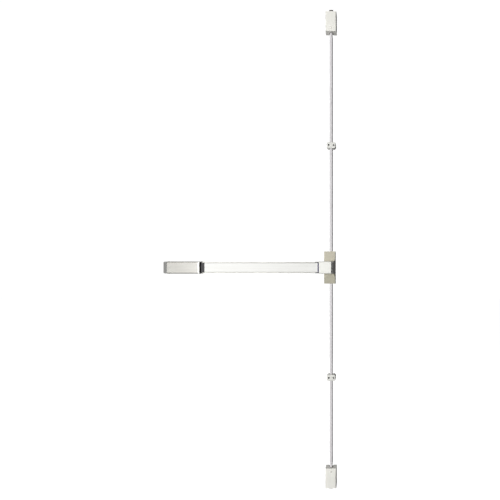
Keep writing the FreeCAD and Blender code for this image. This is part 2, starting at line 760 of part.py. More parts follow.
def pad_plugs():
    step_x = "-pad_left - plug_length + plug_step"
    end_x = "-pad_left - plug_length"
    wedge = [("-pad_left", "-pad_front + 1"), (step_x, "-pad_front + plug_front"),
             (step_x, "-pad_front + plug_shelf"), (end_x, "-pad_front + plug_shelf"),
             (end_x, "-pad_front + plug_back"), ("-pad_left", "-pad_front + plug_back")]
    outside = section("left_plug_outside", "z", wedge, "-pad_top + 1", "pad_top - 1")
    spigot_y = ("pad_inside + seat_gap", "-pad_front + plug_back")
    spigot_z = ("-pad_inner + seat_gap + 2.5", "pad_inner - seat_gap - 2.5")
    spigot = block("left_plug_spigot", ("-pad_left - 1", "-pad_left + plug_spigot"), spigot_y, spigot_z)
    keep("pad_left_plug", join("pad_left_plug", outside, spigot))
    end = "-pad_right + plug_flange"
    flange = block("right_plug_flange", ("-pad_right", end), ("-pad_front + slide_gap", "pad_back"),
                   ("-pad_top + slide_gap", "pad_top - slide_gap"))
    lip_y = ("-pad_front + slide_gap", "-pad_front + slide_gap + lip_depth")
    lips = [block("right_plug_lip_%d" % (sign + 2), ("-pad_right - lip_length", end), lip_y,
                  mirrored(sign, "pad_top + seat_gap", "channel_top - seat_gap")) for sign in (-1, 1)]
    bridge = block("right_plug_bridge", ("-pad_right + slide_gap", end), lip_y,
                   ("-channel_top + seat_gap", "channel_top - seat_gap"))
    tongue = block("right_plug_spigot", ("-pad_right - plug_spigot", "-pad_right + 1"), spigot_y, spigot_z)
    keep("pad_right_plug", join("pad_right_plug", flange, bridge, tongue, *lips))


def pad_bracket(name, x):
    """A U-shaped bracket inside the pad whose ears are slotted for the crank's pin."""
    middle = "%s + arm_middle" % x
    width = ("%s - pad_ear_half" % middle, "%s + pad_ear_half" % middle)
    web = block(name + "_web", width, ("pad_inside", "pad_inside + bracket_thick"),
                ("-pad_ear_outer", "pad_ear_outer"))
    solids = [web]
    for sign in (-1, 1):
        solids.append(block("%s_ear_%d" % (name, sign + 2), width, ("pad_inside", "pad_pin_y + pad_pin + 3"),
                            mirrored(sign, "pad_ear_inner", "pad_ear_outer")))
    half = "arm_sway + pad_pin + slot_gap"
    slot = block(name + "_slot", ("%s - (%s)" % (middle, half), "%s + (%s)" % (middle, half)),
                 ("pad_pin_y - pad_pin - slot_gap", "pad_pin_y + pad_pin + slot_gap"),
                 ("-pad_ear_outer - 1", "pad_ear_outer + 1"))
    keep(name, cut(name, join(name + "_solid", *solids), slot))


def crank_bracket(name, x):
    """A U-shaped bracket riveted to the rail that carries one crank's pivot pin."""
    web = block(name + "_web", ("%s - crank_web_half" % x, "%s + crank_web_half" % x),
                ("web_front", "rail_front"),
                ("-crank_ear_outer", "crank_ear_outer"))
    solids = [web]
    ear_half = "crank_ear_width / 2"
    for sign in (-1, 1):
        solids.append(block("%s_ear_%d" % (name, sign + 2),
                            ("%s - %s" % (x, ear_half), "%s + %s" % (x, ear_half)),
                            ("crank_ear_front", "rail_front"),
                            mirrored(sign, "crank_ear_inner", "crank_ear_outer")))
    tools = rivet_holes(name, x, "web_front", "rail_thick")
    tools.append(toe_window(name + "_window", x, "web_front", "rail_thick", "1"))
    tools.append(cylinder(name + "_bore", "z", x, "crank_y", "-crank_ear_outer - 1",
                          "2 * crank_ear_outer + 2", "crank_pin + press_gap"))
    keep(name, cut(name, join(name + "_solid", *solids), *tools))


def crank(name, x):
    half = "crank_arm_thick / 2"
    hub_half = "crank_ear_inner - slide_gap"
    hub = cylinder(name + "_hub", "z", "0", "0", "-(%s)" % hub_half, "2 * (%s)" % hub_half, "crank_hub")
    levels = ("-" + half, half)
    wide = "crank_arm_width / 2"
    pad_arm = block(name + "_pad_arm", ("0", "arm_length"), ("-" + wide, wide), levels)
    link_arm = block(name + "_link_arm", ("-" + wide, wide), ("0", "arm_length"), levels)
    boss = cylinder(name + "_boss", "z", "arm_length", "0", "-" + half, "crank_arm_thick", "pad_pin + 2.2")
    toe = cylinder(name + "_toe", "z", "0", "arm_length", "-" + half, "crank_arm_thick", "toe_radius")
    bore = cylinder(name + "_bore", "z", "0", "0", "-crank_ear_inner - 1", "crank_ear_gap + 2",
                    "crank_pin + pivot_gap")
    eye = cylinder(name + "_eye", "z", "arm_length", "0", "-crank_arm_thick", "2 * crank_arm_thick",
                   "pad_pin + press_gap")
    place = ((0, 0, 1), "-asin(half_travel / arm_length)", x, "crank_y", "0")
    keep(name, turn(cut(name, join(name + "_solid", hub, pad_arm, link_arm, boss, toe), bore, eye), *place))
    pin_half = "pad_ear_outer + 1"
    pin = cylinder(name + "_pad_pin", "z", "%s + arm_reach" % x, "pad_pin_y", "-(%s)" % pin_half,
                   "2 * (%s)" % pin_half, "pad_pin")
    keep(name + "_pad_pin", pin)


def crank_pins():
    pins = []
    for name, x in (("left", "left_crank_x"), ("right", "right_crank_x")):
        shank = cylinder("pivot_shank_" + name, "z", x, "crank_y", "-crank_ear_outer - 1.5",
                         "2 * crank_ear_outer + 1.5", "crank_pin")
        head = cylinder("pivot_head_" + name, "z", x, "crank_y", "crank_ear_outer", "1.5", "crank_pin + 1.2")
        pins.append(join("pivot_" + name, shank, head))
    keep("crank_pivot_pins", group("crank_pivot_pins", pins))


def rail_rivets():
    rivets = []
    for x in ("left_crank_x", "right_crank_x"):
        for spot_x, spot_z in rivet_spots(x):
            tag = "rivet_%d" % (len(rivets) + 1)
            head = cylinder(tag + "_head", "y", spot_x, "web_front - 1", spot_z, "1", "rivet_head")
            shank = cylinder(tag + "_shank", "y", spot_x, "web_front - 0.5", spot_z,
                             "0.5 - web_front + channel_back", "rivet_radius")
            rivets.append(join(tag, head, shank))
    keep("rail_rivets", group("rail_rivets", rivets))


# Link bar with the far flange, two toe windows and the slotted fork plate in the case
def link_bar():
    depth = ("link_front", "link_back")
    strip = block("link_strip", ("-link_flange", "fork_left + 2"), depth,
                  ("-link_height / 2", "link_height / 2"))
    fork = block("link_fork", ("fork_left", "fork_right"), depth,
                 ("-fork_slot_top - 3.3", "fork_slot_top + 3.3"))
    flange = block("link_flange_plate", ("-link_flange", "-link_flange + link_thick"),
                   ("-flange_front", "link_back"), ("-link_height / 2", "link_height / 2"))
    slot_half = "lever_pin + slot_gap"
    tools = [block("link_slot", ("lever_x + half_travel - (%s)" % slot_half,
                                 "lever_x + half_travel + (%s)" % slot_half),
                   ("link_front - 1", "link_back + 1"), ("-fork_slot_top", "fork_slot_top"))]
    for name, x in (("left", "left_crank_x"), ("right", "right_crank_x")):
        toe = "%s + half_travel" % x
        half = "toe_radius + slot_gap"
        tools.append(block("link_window_" + name, ("%s - (%s)" % (toe, half), "%s + (%s)" % (toe, half)),
                           ("link_front - 1", "link_back + 1"),
                           ("-crank_arm_thick / 2 - slide_gap", "crank_arm_thick / 2 + slide_gap")))
    tools.append(cylinder("link_flange_hole", "x", "-link_flange - 1", "-spring_stand", "0", "link_thick + 2",
                          "spring_pin + slide_gap"))
    keep("link_bar", cut("link_bar", join("link_solid", strip, fork, flange), *tools))


def return_spring():
    stop_right = "-stop_left + plate"
    stop = block("stop_plate", ("-stop_left", stop_right), ("-flange_front", "channel_floor"),
                 ("-channel_inner + seat_gap", "channel_inner - seat_gap"))
    foot = block("stop_foot", ("-stop_left", "-stop_left + stop_foot"),
                 ("channel_floor - plate", "channel_floor"),
                 ("-channel_inner + seat_gap", "channel_inner - seat_gap"))
    hole = cylinder("stop_hole", "x", "-stop_left - 1", "-spring_stand", "0", "plate + 2",
                    "spring_pin + press_gap")
    keep("spring_stop", cut("spring_stop", join("stop_solid", stop, foot), hole))
    pin = cylinder("spring_pin_shank", "x", "-stop_left - 2", "-spring_stand", "0",
                   "stop_left + 2 - link_flange + link_thick + 6", "spring_pin")
    head = cylinder("spring_pin_head", "x", "-stop_left - 2", "-spring_stand", "0", "2", "spring_pin + 2")
    keep("spring_guide_pin", join("spring_guide_pin", pin, head))
    edge = "spring_wire / 2 + seat_gap"
    keep("return_spring", coil("return_spring", "x", "%s + %s" % (stop_right, edge), "-spring_stand", "0",
                               "stop_left - plate - link_flange - 2 * (%s)" % edge,
                               "spring_radius", "spring_wire", "spring_turns"))


# Far end: bracket on the door and the sloped housing over the channel
def end_bracket():
    plate = block("end_plate", ("-housing_left + end_inset", "-channel_left + end_overlap"), ("-plate", "0"),
                  ("-end_half", "end_half"))
    solids = [plate]
    tools = []
    for sign in (-1, 1):
        z = mirrored(sign, "channel_top - flange_thick", "channel_top")
        solids.append(block("end_flange_%d" % (sign + 2),
                            ("-housing_flat - flange_lead", "-channel_left - 2"),
                            ("-flange_reach", "0"), z))
        tools.append(cylinder("end_tap_%d" % (sign + 2), "z", "-channel_left - housing_screw_x",
                              "-housing_screw_stand", z[0], "flange_thick", "screw_radius + press_gap"))
        tools.append(cylinder("end_hole_%d" % (sign + 2), "y", "-channel_left - end_hole_x", "-plate",
                              "%d * channel_screw_z" % sign, "plate", "mount_hole"))
        tools.append(cylinder("end_channel_tap_%d" % (sign + 2), "y", "-channel_left + channel_screw_left",
                              "-plate", "%d * channel_screw_z" % sign, "plate", "screw_radius + press_gap"))
    keep("end_bracket", cut("end_bracket", join("end_solid", *solids), *tools))


def housing_solid(name, shrink, back, right, round_size):
    half = "housing_height / 2 - %s" % shrink
    front = "-housing_depth + %s" % shrink
    plan = [(right, back), ("-housing_left + 1.4 * %s" % shrink, back),
            ("-housing_flat + %s / 2" % shrink, front), (right, front)]
    return section(name, "z", plan, "-(%s)" % half, half,
                   [(round_size, lambda middle, way: abs(middle.z) > value(half) - 0.1
                     and middle.y < value(back) - 1 and abs(way.y) < 0.9 and middle.x < value(right) - 1)])


def end_housing():
    outer = housing_solid("housing_outer", "0", "0", "-housing_right", "housing_round")
    inner = housing_solid("housing_inner", "housing_wall", "1", "-housing_right + 1",
                          "housing_round - housing_wall")
    tools = [inner]
    screws = []
    for sign in (-1, 1):
        z = mirrored(sign, "housing_height / 2 - housing_wall - 1", "housing_height / 2 + 1")
        tools.append(cylinder("housing_hole_%d" % (sign + 2), "z", "-channel_left - housing_screw_x",
                              "-housing_screw_stand", z[0], "housing_wall + 2", "screw_radius + seat_gap"))
        screws.append(screw("housing_screw_%d" % (sign + 2), "z", "-channel_left - housing_screw_x",
                            "-housing_screw_stand", "%d * housing_height / 2" % sign, -sign,
                            "housing_wall + flange_thick"))
    keep("end_housing", cut("end_housing", outer, *tools))
    keep("end_housing_screws", group("end_housing_screws", screws))


# Rods, with a lock collar and a stud at the latch end and a stud into the slide
def vertical_rod(name, sign):
    far = "upper_rod_top" if sign > 0 else "-lower_rod_bottom"
    near = "slide_far + stud_show"
    bar_z = mirrored(sign, near, far)
    bar = hexagon(name + "_bar", bar_z[0], "(%s) - (%s)" % (far, near), "rod_across")
    stud_z = mirrored(sign, "slide_near", "%s + 1" % near)
    stud = cylinder(name + "_inner_stud", "z", "rod_x", "rod_y", stud_z[0], "%s + 1 - slide_near" % near,
                    "stud_radius")
    tap_z = mirrored(sign, "(%s) - stud_tap" % far, "(%s) + 1" % far)
    tap = cylinder(name + "_tap", "z", "rod_x", "rod_y", tap_z[0], "stud_tap + 1",
                   "stud_radius - 0.5 + press_gap")
    keep(name, cut(name, join(name + "_solid", bar, stud), tap))
    nut_z = mirrored(sign, "slide_far", "slide_far + nut_thick")
    nut = hexagon(name + "_nut_hex", nut_z[0], "nut_thick", "nut_across")
    bore = cylinder(name + "_nut_bore", "z", "rod_x", "rod_y", "(%s) - 1" % nut_z[0], "nut_thick + 2",
                    "stud_radius + press_gap")
    keep(name + "_lock_nut", cut(name + "_lock_nut", nut, bore))


def rod_guide(name, z):
    wide = ("rod_x - guide_width / 2", "rod_x + guide_width / 2")
    tall = ("%s - guide_height / 2" % z, "%s + guide_height / 2" % z)
    face = [(wide[0], tall[0]), (wide[1], tall[0]), (wide[1], tall[1]), (wide[0], tall[1])]
    front = value("-guide_depth")
    body = section(name + "_body", "y", face, "-guide_depth", "0",
                   [("guide_corner", lambda middle, way: abs(way.y) > 0.9),
                    ("guide_round", lambda middle, way: abs(middle.y - front) < 0.1)])
    tools = [cylinder(name + "_bore", "z", "rod_x", "rod_y", "%s - 1" % tall[0], "guide_height + 2",
                      "rod_bore"),
             block(name + "_mouth", ("rod_x - rod_bore", "rod_x + rod_bore"), ("rod_y", "1"),
                   ("%s - 1" % tall[0], "%s + 1" % tall[1]))]
    for side in (-1, 1):
        tools.append(cylinder("%s_hole_%d" % (name, side + 2), "y",
                              "rod_x + %d * guide_hole_pitch / 2" % side,
                              "-guide_depth - 1", z, "guide_depth + 2", "guide_hole"))
    keep(name, cut(name, body, *tools))


# Latch cases: the same bolt work at both ends of the door, measured from the far end
def latch(name, sign):
    end = "top_end" if sign > 0 else "bottom_end"

    def levels(near, far):
        """Bounds in Z of a stretch given by its distances from the latch's far end."""
        return mirrored(sign, "%s - (%s)" % (end, far), "%s - (%s)" % (end, near))

    def wide(half):
        return ("rod_x - (%s)" % half, "rod_x + (%s)" % half)

    latch_base(name, levels, wide)
    latch_cover(name, sign, end, levels, wide)
    latch_bolt(name, sign, levels, wide)


def latch_base(name, levels, wide):
    label = name + "_latch_base"
    inner = "latch_half - cover_wall - slide_gap"
    plate = block(label + "_plate", wide(inner), ("-plate", "0"), levels("tab_far", "latch_height - tab_far"))
    far_tab = block(label + "_far_tab", wide(inner), ("lug_front", "0"), levels("tab_far", "tab_far + plate"))
    near_tab = block(label + "_near_tab", wide("near_tab_half"), ("lug_front", "0"),
                     levels("tab_near", "tab_near + plate"))
    lug = block(label + "_lug", wide("latch_lug_half"), ("lug_front", "lug_front + bracket_thick"),
                levels("tab_near", "screw_place + 7"))
    bolt_hole = block(label + "_bolt_hole", wide("bolt_width / 2 + slide_gap"),
                      ("rod_y - bolt_depth / 2 - slide_gap", "rod_y + bolt_depth / 2 + slide_gap"),
                      levels("tab_far - 1", "tab_far + plate + 1"))
    stud_hole = cylinder(label + "_stud_hole", "z", "rod_x", "rod_y",
                         levels("tab_near - 1", "tab_near + plate + 1")[0],
                         "plate + 2", "stud_radius + slide_gap")
    tap = cylinder(label + "_tap", "y", "rod_x", "lug_front - 1", levels("screw_place", "screw_place")[0],
                   "bracket_thick + 2", "screw_radius + press_gap")
    tools = [bolt_hole, stud_hole, tap]
    for side in (-1, 1):
        for number, spot in enumerate(("latch_hole_far", "latch_hole_near")):
            tools.append(cylinder("%s_hole_%d_%d" % (label, side + 2, number), "y",
                                  "rod_x + %d * latch_hole_x" % side,
                                  "-plate - 1", levels(spot, spot)[0], "plate + 2", "mount_hole"))
    keep(label, cut(label, join(label + "_solid", plate, far_tab, near_tab, lug), *tools))


def latch_shell(name, sign, end, shrink, end_shrink, back, round_size):
    """The latch case's outline: flat at its far end and sloped towards the rod."""
    half = "latch_half - %s" % shrink
    front = "-latch_depth + %s" % shrink
    near_front = "-latch_near_depth + %s" % shrink
    far = "%d * (%s - %s)" % (sign, end, end_shrink)
    slope = "%d * (%s - latch_height + latch_slope)" % (sign, end)
    near = "%d * (%s - latch_height + %s)" % (sign, end, end_shrink)
    outline = [(back, far), (front, far), (front, slope), (near_front, near), (back, near)]
    low, high = "rod_x - (%s)" % half, "rod_x + (%s)" % half
    left, right = value(low) + 0.1, value(high) - 0.1
    limit = value(near_front) + 0.1
    return section(name, "x", outline, low, high,
                   [(round_size, lambda middle, way: (middle.x < left or middle.x > right)
                     and middle.y < limit and abs(way.x) < 0.1 and abs(way.y) < 0.9)])


def latch_cover(name, sign, end, levels, wide):
    label = name + "_latch_cover"
    outer = latch_shell(label + "_outer", sign, end, "0", "0", "0", "latch_round")
    inner = latch_shell(label + "_inner", sign, end, "cover_wall", "cover_wall", "1",
                        "latch_round - cover_wall")
    near = levels("latch_height - cover_wall - 1", "latch_height + 1")
    notch = block(label + "_notch", wide("notch_radius"), ("rod_y", "1"), near)
    arch = cylinder(label + "_arch", "z", "rod_x", "rod_y", near[0], "cover_wall + 2", "notch_radius")
    mouth = block(label + "_mouth", wide("bolt_width / 2 + 0.5"),
                  ("rod_y - bolt_depth / 2 - 0.5", "rod_y + bolt_depth / 2 + 0.5"),
                  levels("-1", "cover_wall + 1"))
    place = levels("screw_place", "screw_place")[0]
    hole = cylinder(label + "_hole", "y", "rod_x", "-latch_depth - 1", place, "latch_depth + lug_front",
                    "screw_radius + seat_gap")
    keep(label, cut(label, outer, inner, notch, arch, mouth, hole))
    slope_y = ("latch_near_depth + (latch_depth - latch_near_depth)"
               " * (latch_height - screw_place) / latch_slope")
    seat = "-(%s)" % slope_y
    seat = "%s - screw_head * (latch_depth - latch_near_depth) / latch_slope" % seat
    keep(name + "_latch_screw", screw(name + "_latch_screw", "y", "rod_x", seat, place, 1,
                                      "lug_front + bracket_thick + 1 - (%s)" % seat))


def latch_bolt(name, sign, levels, wide):
    bolt = name + "_bolt"
    stand = bolt + "_stand"
    shank = block(bolt + "_shank", wide("bolt_width / 2"),
                  ("rod_y - bolt_depth / 2", "rod_y + bolt_depth / 2"),
                  levels("-%s + bolt_bevel" % stand, "bolt_body"))
    tip = block(bolt + "_tip", wide("bolt_width / 2"),
                ("rod_y - bolt_depth / 2 + bolt_bevel", "rod_y + bolt_depth / 2"),
                levels("-%s" % stand, "bolt_body"))
    tap = cylinder(bolt + "_tap", "z", "rod_x", "rod_y", levels("bolt_body - bolt_tap", "bolt_body + 1")[0],
                   "bolt_tap + 1",
                   "stud_radius - 0.5 + press_gap")
    keep(bolt, cut(bolt, join(bolt + "_solid", shank, tip), tap))
    stud = cylinder(bolt + "_stud", "z", "rod_x", "rod_y",
                    levels("bolt_body - bolt_tap + 1", "rod_end + stud_into_rod")[0],
                    "rod_end + stud_into_rod - bolt_body + bolt_tap - 1", "stud_radius - 0.5")
    keep(bolt + "_stud", stud)
    collar = cylinder(bolt + "_collar_drum", "z", "rod_x", "rod_y", levels("collar_near", "rod_end")[0],
                      "rod_end - collar_near", "collar_radius")
    bore = cylinder(bolt + "_collar_bore", "z", "rod_x", "rod_y", levels("collar_near - 1", "rod_end + 1")[0],
                    "rod_end - collar_near + 2", "stud_radius - 0.5 + press_gap")
    keep(bolt + "_collar", cut(bolt + "_collar", collar, bore))
    edge = "bolt_spring_wire / 2 + seat_gap"
    keep(bolt + "_spring", coil(bolt + "_spring", "z", "rod_x", "rod_y",
                                levels("bolt_body + %s" % edge, "tab_near - (%s)" % edge)[0],
                                "tab_near - bolt_body - 2 * (%s)" % edge,
                                "bolt_spring_radius", "bolt_spring_wire", "bolt_spring_turns"))


head_chassis()
head_cover()
nose_cover()
lever("upper_lever", 1)
lever("lower_lever", -1)
lever_posts()
rod_slide("upper_rod_slide", 1)
rod_slide("lower_rod_slide", -1)
channel()
base_rail()
push_pad()
pad_plugs()
for side_name in ("left", "right"):
    pivot_x = side_name + "_crank_x"
    pad_bracket(side_name + "_pad_bracket", pivot_x)
    crank_bracket(side_name + "_crank_bracket", pivot_x)
    crank(side_name + "_crank", pivot_x)
crank_pins()
rail_rivets()
link_bar()
return_spring()
end_bracket()
end_housing()
vertical_rod("upper_rod", 1)
vertical_rod("lower_rod", -1)
rod_guide("upper_rod_guide", "upper_guide_z")
rod_guide("lower_rod_guide", "lower_guide_z")
latch("top", 1)
latch("bottom", -1)

doc.recompute()
failed = [item.Name for item in doc.Objects if "Invalid" in item.State or "Error" in item.State]
if failed:
    raise RuntimeError("objects failed: " + ", ".join(failed))
for label, item in nodes.items():
    if item.Shape.isNull() or not item.Shape.isValid():
        raise RuntimeError("bad shape: " + label)
for label, item in nodes.items():
    item.Shape.exportStep(os.path.join("parts", label + ".step"))
print("sub-parts written:", len(nodes))
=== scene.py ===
# A surface vertical rod exit device for a door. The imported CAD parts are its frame. This
# script gives every part its finish and adds what is turned, threaded, wound or folded.
# Shapes are worked out in millimetres, and every mesh is stored in metres.
import math

import bmesh
import bpy
import numpy as np
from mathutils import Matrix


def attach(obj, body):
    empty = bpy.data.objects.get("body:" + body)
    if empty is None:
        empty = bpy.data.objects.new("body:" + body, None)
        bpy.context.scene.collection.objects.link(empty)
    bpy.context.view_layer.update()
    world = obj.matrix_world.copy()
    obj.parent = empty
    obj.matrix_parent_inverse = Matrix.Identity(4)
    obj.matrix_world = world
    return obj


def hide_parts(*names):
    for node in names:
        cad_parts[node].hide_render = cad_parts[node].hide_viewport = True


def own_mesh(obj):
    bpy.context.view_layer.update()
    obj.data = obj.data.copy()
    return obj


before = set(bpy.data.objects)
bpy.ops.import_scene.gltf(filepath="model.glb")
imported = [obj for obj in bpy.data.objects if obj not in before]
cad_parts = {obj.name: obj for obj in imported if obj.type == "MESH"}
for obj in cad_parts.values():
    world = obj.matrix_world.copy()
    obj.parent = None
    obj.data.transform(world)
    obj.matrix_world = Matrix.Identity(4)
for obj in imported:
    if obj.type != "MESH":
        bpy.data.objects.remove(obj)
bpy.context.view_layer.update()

# Camera: level with the bar, 2 m out and a little to the rods' side. It looks almost
# squarely at the door, so rods and bar stay parallel, and the frame is shifted to hold
# the whole device.
camera_data = bpy.data.cameras.new("camera")
camera_data.sensor_width = 36
camera_data.lens = 31.58
camera_data.shift_x = -0.257
camera_data.shift_y = 0.030
camera = bpy.data.objects.new("camera", camera_data)
camera.location = (0.169, -1.976, 0.0112)
camera.rotation_euler = (math.radians(90), 0, math.radians(-1.39))
bpy.context.scene.collection.objects.link(camera)
bpy.context.scene.camera = camera
bpy.context.scene.view_settings.view_transform = "Standard"


# Push pad: an aluminium extrusion with a satin off-white enamel. Hands press it all day,
# so its coat is smooth, with fine lines along the bar where the die and the brush ran.
def linear(code):
    """Linear colour of an sRGB hex code: each channel c above 0.04045 becomes
    ((c + 0.055) / 1.055) to the power 2.4, and a smaller one c / 12.92."""
    c = np.array([int(code[i:i + 2], 16) for i in (0, 2, 4)]) / 255
    return tuple(np.where(c > 0.04045, ((c + 0.055) / 1.055) ** 2.4, c / 12.92).tolist()) + (1.0,)


def add_node(tree, kind, inputs=(), **settings):
    """Add a shader node. An input is a value, or a (node, output) pair to link."""
    made = tree.nodes.new("ShaderNode" + kind)
    for name, setting in settings.items():
        setattr(made, name, setting)
    for name, given in dict(inputs).items():
        if isinstance(given, tuple) and isinstance(given[0], bpy.types.Node):
            tree.links.new(given[0].outputs[given[1]], made.inputs[name])
        else:
            made.inputs[name].default_value = given
    return made


def grained(name, light, dark, grain, *, metallic, roughness, relief, cloud=150, painted_light_fade=None,
            tint_and_painted_shade=None, specular=0.5):
    """A finish whose tone runs between two colours along a grain.

    grain is the length in mm of one streak along X, Y and Z, and relief how far the streaks stand
    out in mm. Slow patches of cloud mm, for uneven coats and handling, move both the tone and the
    gloss. painted_light_fade is painted light: an axis, two places along it in metres, between
    which the colour gets lighter, and a colour that takes over 0.6 of the tone there.
    tint_and_painted_shade is a list of planes, each a normal and its distance from the origin in
    metres, and a colour for the end face that lies beyond them all: a darker one where it paints
    shade, or else a tint. specular is lower for coats matted with chalk."""
    made = bpy.data.materials.new(name)
    made.use_nodes = True
    tree = made.node_tree
    shader = tree.nodes["Principled BSDF"]
    place = add_node(tree, "TexCoord")
    scaled = add_node(tree, "Mapping", {"Vector": (place, "Object"),
                                        "Scale": [1000 / length for length in grain]})
    streaks = add_node(tree, "TexNoise", {"Vector": (scaled, "Vector"), "Scale": 1.0,
                                          "Detail": 3.0})
    clouds = add_node(tree, "TexNoise", {"Vector": (place, "Object"), "Scale": 1000 / cloud,
                                         "Detail": 2.0})
    both = add_node(tree, "Math", {0: (streaks, "Fac"), 1: (clouds, "Fac")}, operation="ADD")
    mean = add_node(tree, "Math", {0: (both, "Value"), 1: 0.5}, operation="MULTIPLY")
    tone = add_node(tree, "ValToRGB", {"Fac": (mean, "Value")})
    for stop, position, code in zip(tone.color_ramp.elements, (0.38, 0.62), (dark, light)):
        stop.position = position
        stop.color = linear(code)
    gloss = add_node(tree, "MapRange", {"Value": (clouds, "Fac"), "From Min": 0.3,
                                        "From Max": 0.7, "To Min": roughness * 0.88,
                                        "To Max": roughness * 1.12})
    bump = add_node(tree, "Bump", {"Height": (streaks, "Fac"), "Distance": relief / 1000,
                                   "Strength": 1.0})
    # Painted light: the colour grows lighter along an axis
    if painted_light_fade:
        axis, start, end, painted_light_colour = painted_light_fade
        along = add_node(tree, "SeparateXYZ", {"Vector": (place, "Object")})
        share = add_node(tree, "MapRange", {"Value": (along, axis), "From Min": start,
                                            "From Max": end, "To Min": 0.0, "To Max": 0.6})
        tone = add_node(tree, "MixRGB", {"Fac": (share, "Result"), "Color1": (tone, "Color"),
                                         "Color2": linear(painted_light_colour)})
    # Painted shade, or a tint, beyond every one of the planes
    if tint_and_painted_shade:
        planes, shade = tint_and_painted_shade
        beyond = 1.0
        for normal, level in planes:
            reach = add_node(tree, "VectorMath", {0: (place, "Object"), 1: normal},
                             operation="DOT_PRODUCT")
            past = add_node(tree, "Math", {0: (reach, "Value"), 1: level},
                            operation="GREATER_THAN")
            beyond = (add_node(tree, "Math", {0: (past, "Value"), 1: beyond},
                               operation="MULTIPLY"), "Value")
        tone = add_node(tree, "MixRGB", {"Fac": beyond, "Color1": (tone, "Color"),
                                         "Color2": linear(shade)})
    tree.links.new(tone.outputs["Color"], shader.inputs["Base Color"])
    tree.links.new(gloss.outputs["Result"], shader.inputs["Roughness"])
    tree.links.new(bump.outputs["Normal"], shader.inputs["Normal"])
    shader.inputs["Metallic"].default_value = metallic
    shader.inputs["Specular IOR Level"].default_value = specular
    return made


def dress(material, *names):
    """Give CAD nodes one material in all their slots."""
    for name in names:
        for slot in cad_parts[name].material_slots:
            slot.material = material


# Satin enamel over brushed aluminium: near white, with a soft sheen along the bar
satin_white_enamel = grained("satin_white_enamel", "EFEFEC", "E7E7E3", (300, 3.5, 3.5),
                             metallic=0.0, roughness=0.42, relief=0.012, specular=0.25)
dress(satin_white_enamel, "push_pad")

# Channel: the U-shaped aluminium extrusion that the pad sinks into, screwed to the case
# and to the far end's bracket. Anodised a light grey, with die lines along its length.
satin_anodised_aluminium = grained("satin_anodised_aluminium", "C9C8C2", "B3B2AB",
                                   (400, 0.9, 0.9), metallic=0.4, roughness=0.40, relief=0.02)
dress(satin_anodised_aluminium, "channel")

# End housing: a folded and brushed sheet cap over the channel's far end, its left end sloped so
# that a trolley slides off. Painted shade makes that slope dark, and painted light makes the coat
# lighter towards the pad. Held by one screw from above and one from below.
brushed_warm_enamel = grained("brushed_warm_enamel", "8A8780", "787770", (240, 4.5, 4.5),
                              metallic=0.1, roughness=0.36, relief=0.012,
                              painted_light_fade=("X", -0.70, -0.575, "A5A39D"),
                              tint_and_painted_shade=([((-0.8166, -0.5772, 0), 0.6047)], "52514C"))
dress(brushed_warm_enamel, "end_housing")


def skin(name, grids, material, body, ring=False):
    """A piece from grids of points in mm, rows by columns, whose columns close on themselves.

    Rows close too where ring is set. Elsewhere each end row is closed with one flat face."""
    points, faces, start = [], [], 0
    for grid in grids:
        if ring:
            grid = np.concatenate([grid, grid[:1]])
        rows, columns = grid.shape[:2]
        row, column = np.mgrid[:rows - 1, :columns]
        here = start + row * columns + column
        beside = start + row * columns + (column + 1) % columns
        quads = np.stack([here, beside, beside + columns, here + columns], axis=-1)
        faces += quads.reshape(-1, 4).tolist()
        if not ring:
            faces.append(list(range(start + columns - 1, start - 1, -1)))
            faces.append(list(range(start + (rows - 1) * columns, start + rows * columns)))
        points.append(grid.reshape(-1, 3) / 1000)
        start += rows * columns
    mesh = bpy.data.meshes.new(name)
    mesh.from_pydata(np.concatenate(points).tolist(), [], faces)
    work = bmesh.new()
    work.from_mesh(mesh)
    bmesh.ops.remove_doubles(work, verts=work.verts, dist=1e-7)
    bmesh.ops.recalc_face_normals(work, faces=work.faces)
    work.to_mesh(mesh)
    work.free()
    mesh.shade_smooth()
    mesh.set_sharp_from_angle(angle=math.radians(35))
    mesh.materials.append(material)
    made = bpy.data.objects.new(name, mesh)
    bpy.context.scene.collection.objects.link(made)
    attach(made, body)
    return made


# Housing hem: the sheet is folded back on itself where it ends over the pad, so a rounded band, 6
# mm wide, runs round three sides of the housing. Its near-white colour is a painted highlight
# along the fold.
def fold_path(half, depth, corner, steps=9):
    """Points and outward normals in (y, z) along a U: up one side, round a corner of the
    given radius, across the front, round the other corner and back along the other side."""
    turn = np.linspace(0, np.pi / 2, steps)
    normals = np.concatenate([[(0.0, -1.0)], np.column_stack([-np.sin(turn), -np.cos(turn)]),
                              np.column_stack([-np.cos(turn), np.sin(turn)]), [(0.0, 1.0)]])
    centres = np.concatenate([[(0.0, corner - half)],
                              np.tile((corner - depth, corner - half), (steps, 1)),
                              np.tile((corner - depth, half - corner), (steps, 1)),
                              [(0.0, half - corner)]])
    return centres + corner * normals, normals


# The fold's section bulges 0.8 mm in its middle, and its flat foot reaches into the sheet
hem_middle, hem_half, hem_bulge, hem_foot = -564, 3.2, 0.8, -0.7
hem_path, hem_normals = fold_path(half=26.5, depth=58, corner=5)
hem_turn = np.linspace(0, np.pi, 9)
hem_x = hem_middle + hem_half * np.concatenate([-np.cos(hem_turn), [1, -1]])
hem_rise = np.concatenate([0.15 + hem_bulge * np.sin(hem_turn) ** 0.6, [hem_foot, hem_foot]])
hem_grid = np.empty((len(hem_path), len(hem_x), 3))
hem_grid[..., 0] = hem_x
hem_grid[..., 1:] = hem_path[:, None] + hem_rise[None, :, None] * hem_normals[:, None]
# Enamel painted near white along the fold, a painted highlight
hem_painted_highlight_enamel = grained("hem_painted_highlight_enamel", "F0F0EC", "E4E3DE", (40, 6, 6),
                            metallic=0.1, roughness=0.3, relief=0.01)
skin("end_housing_hem", [hem_grid], hem_painted_highlight_enamel, "door_side")

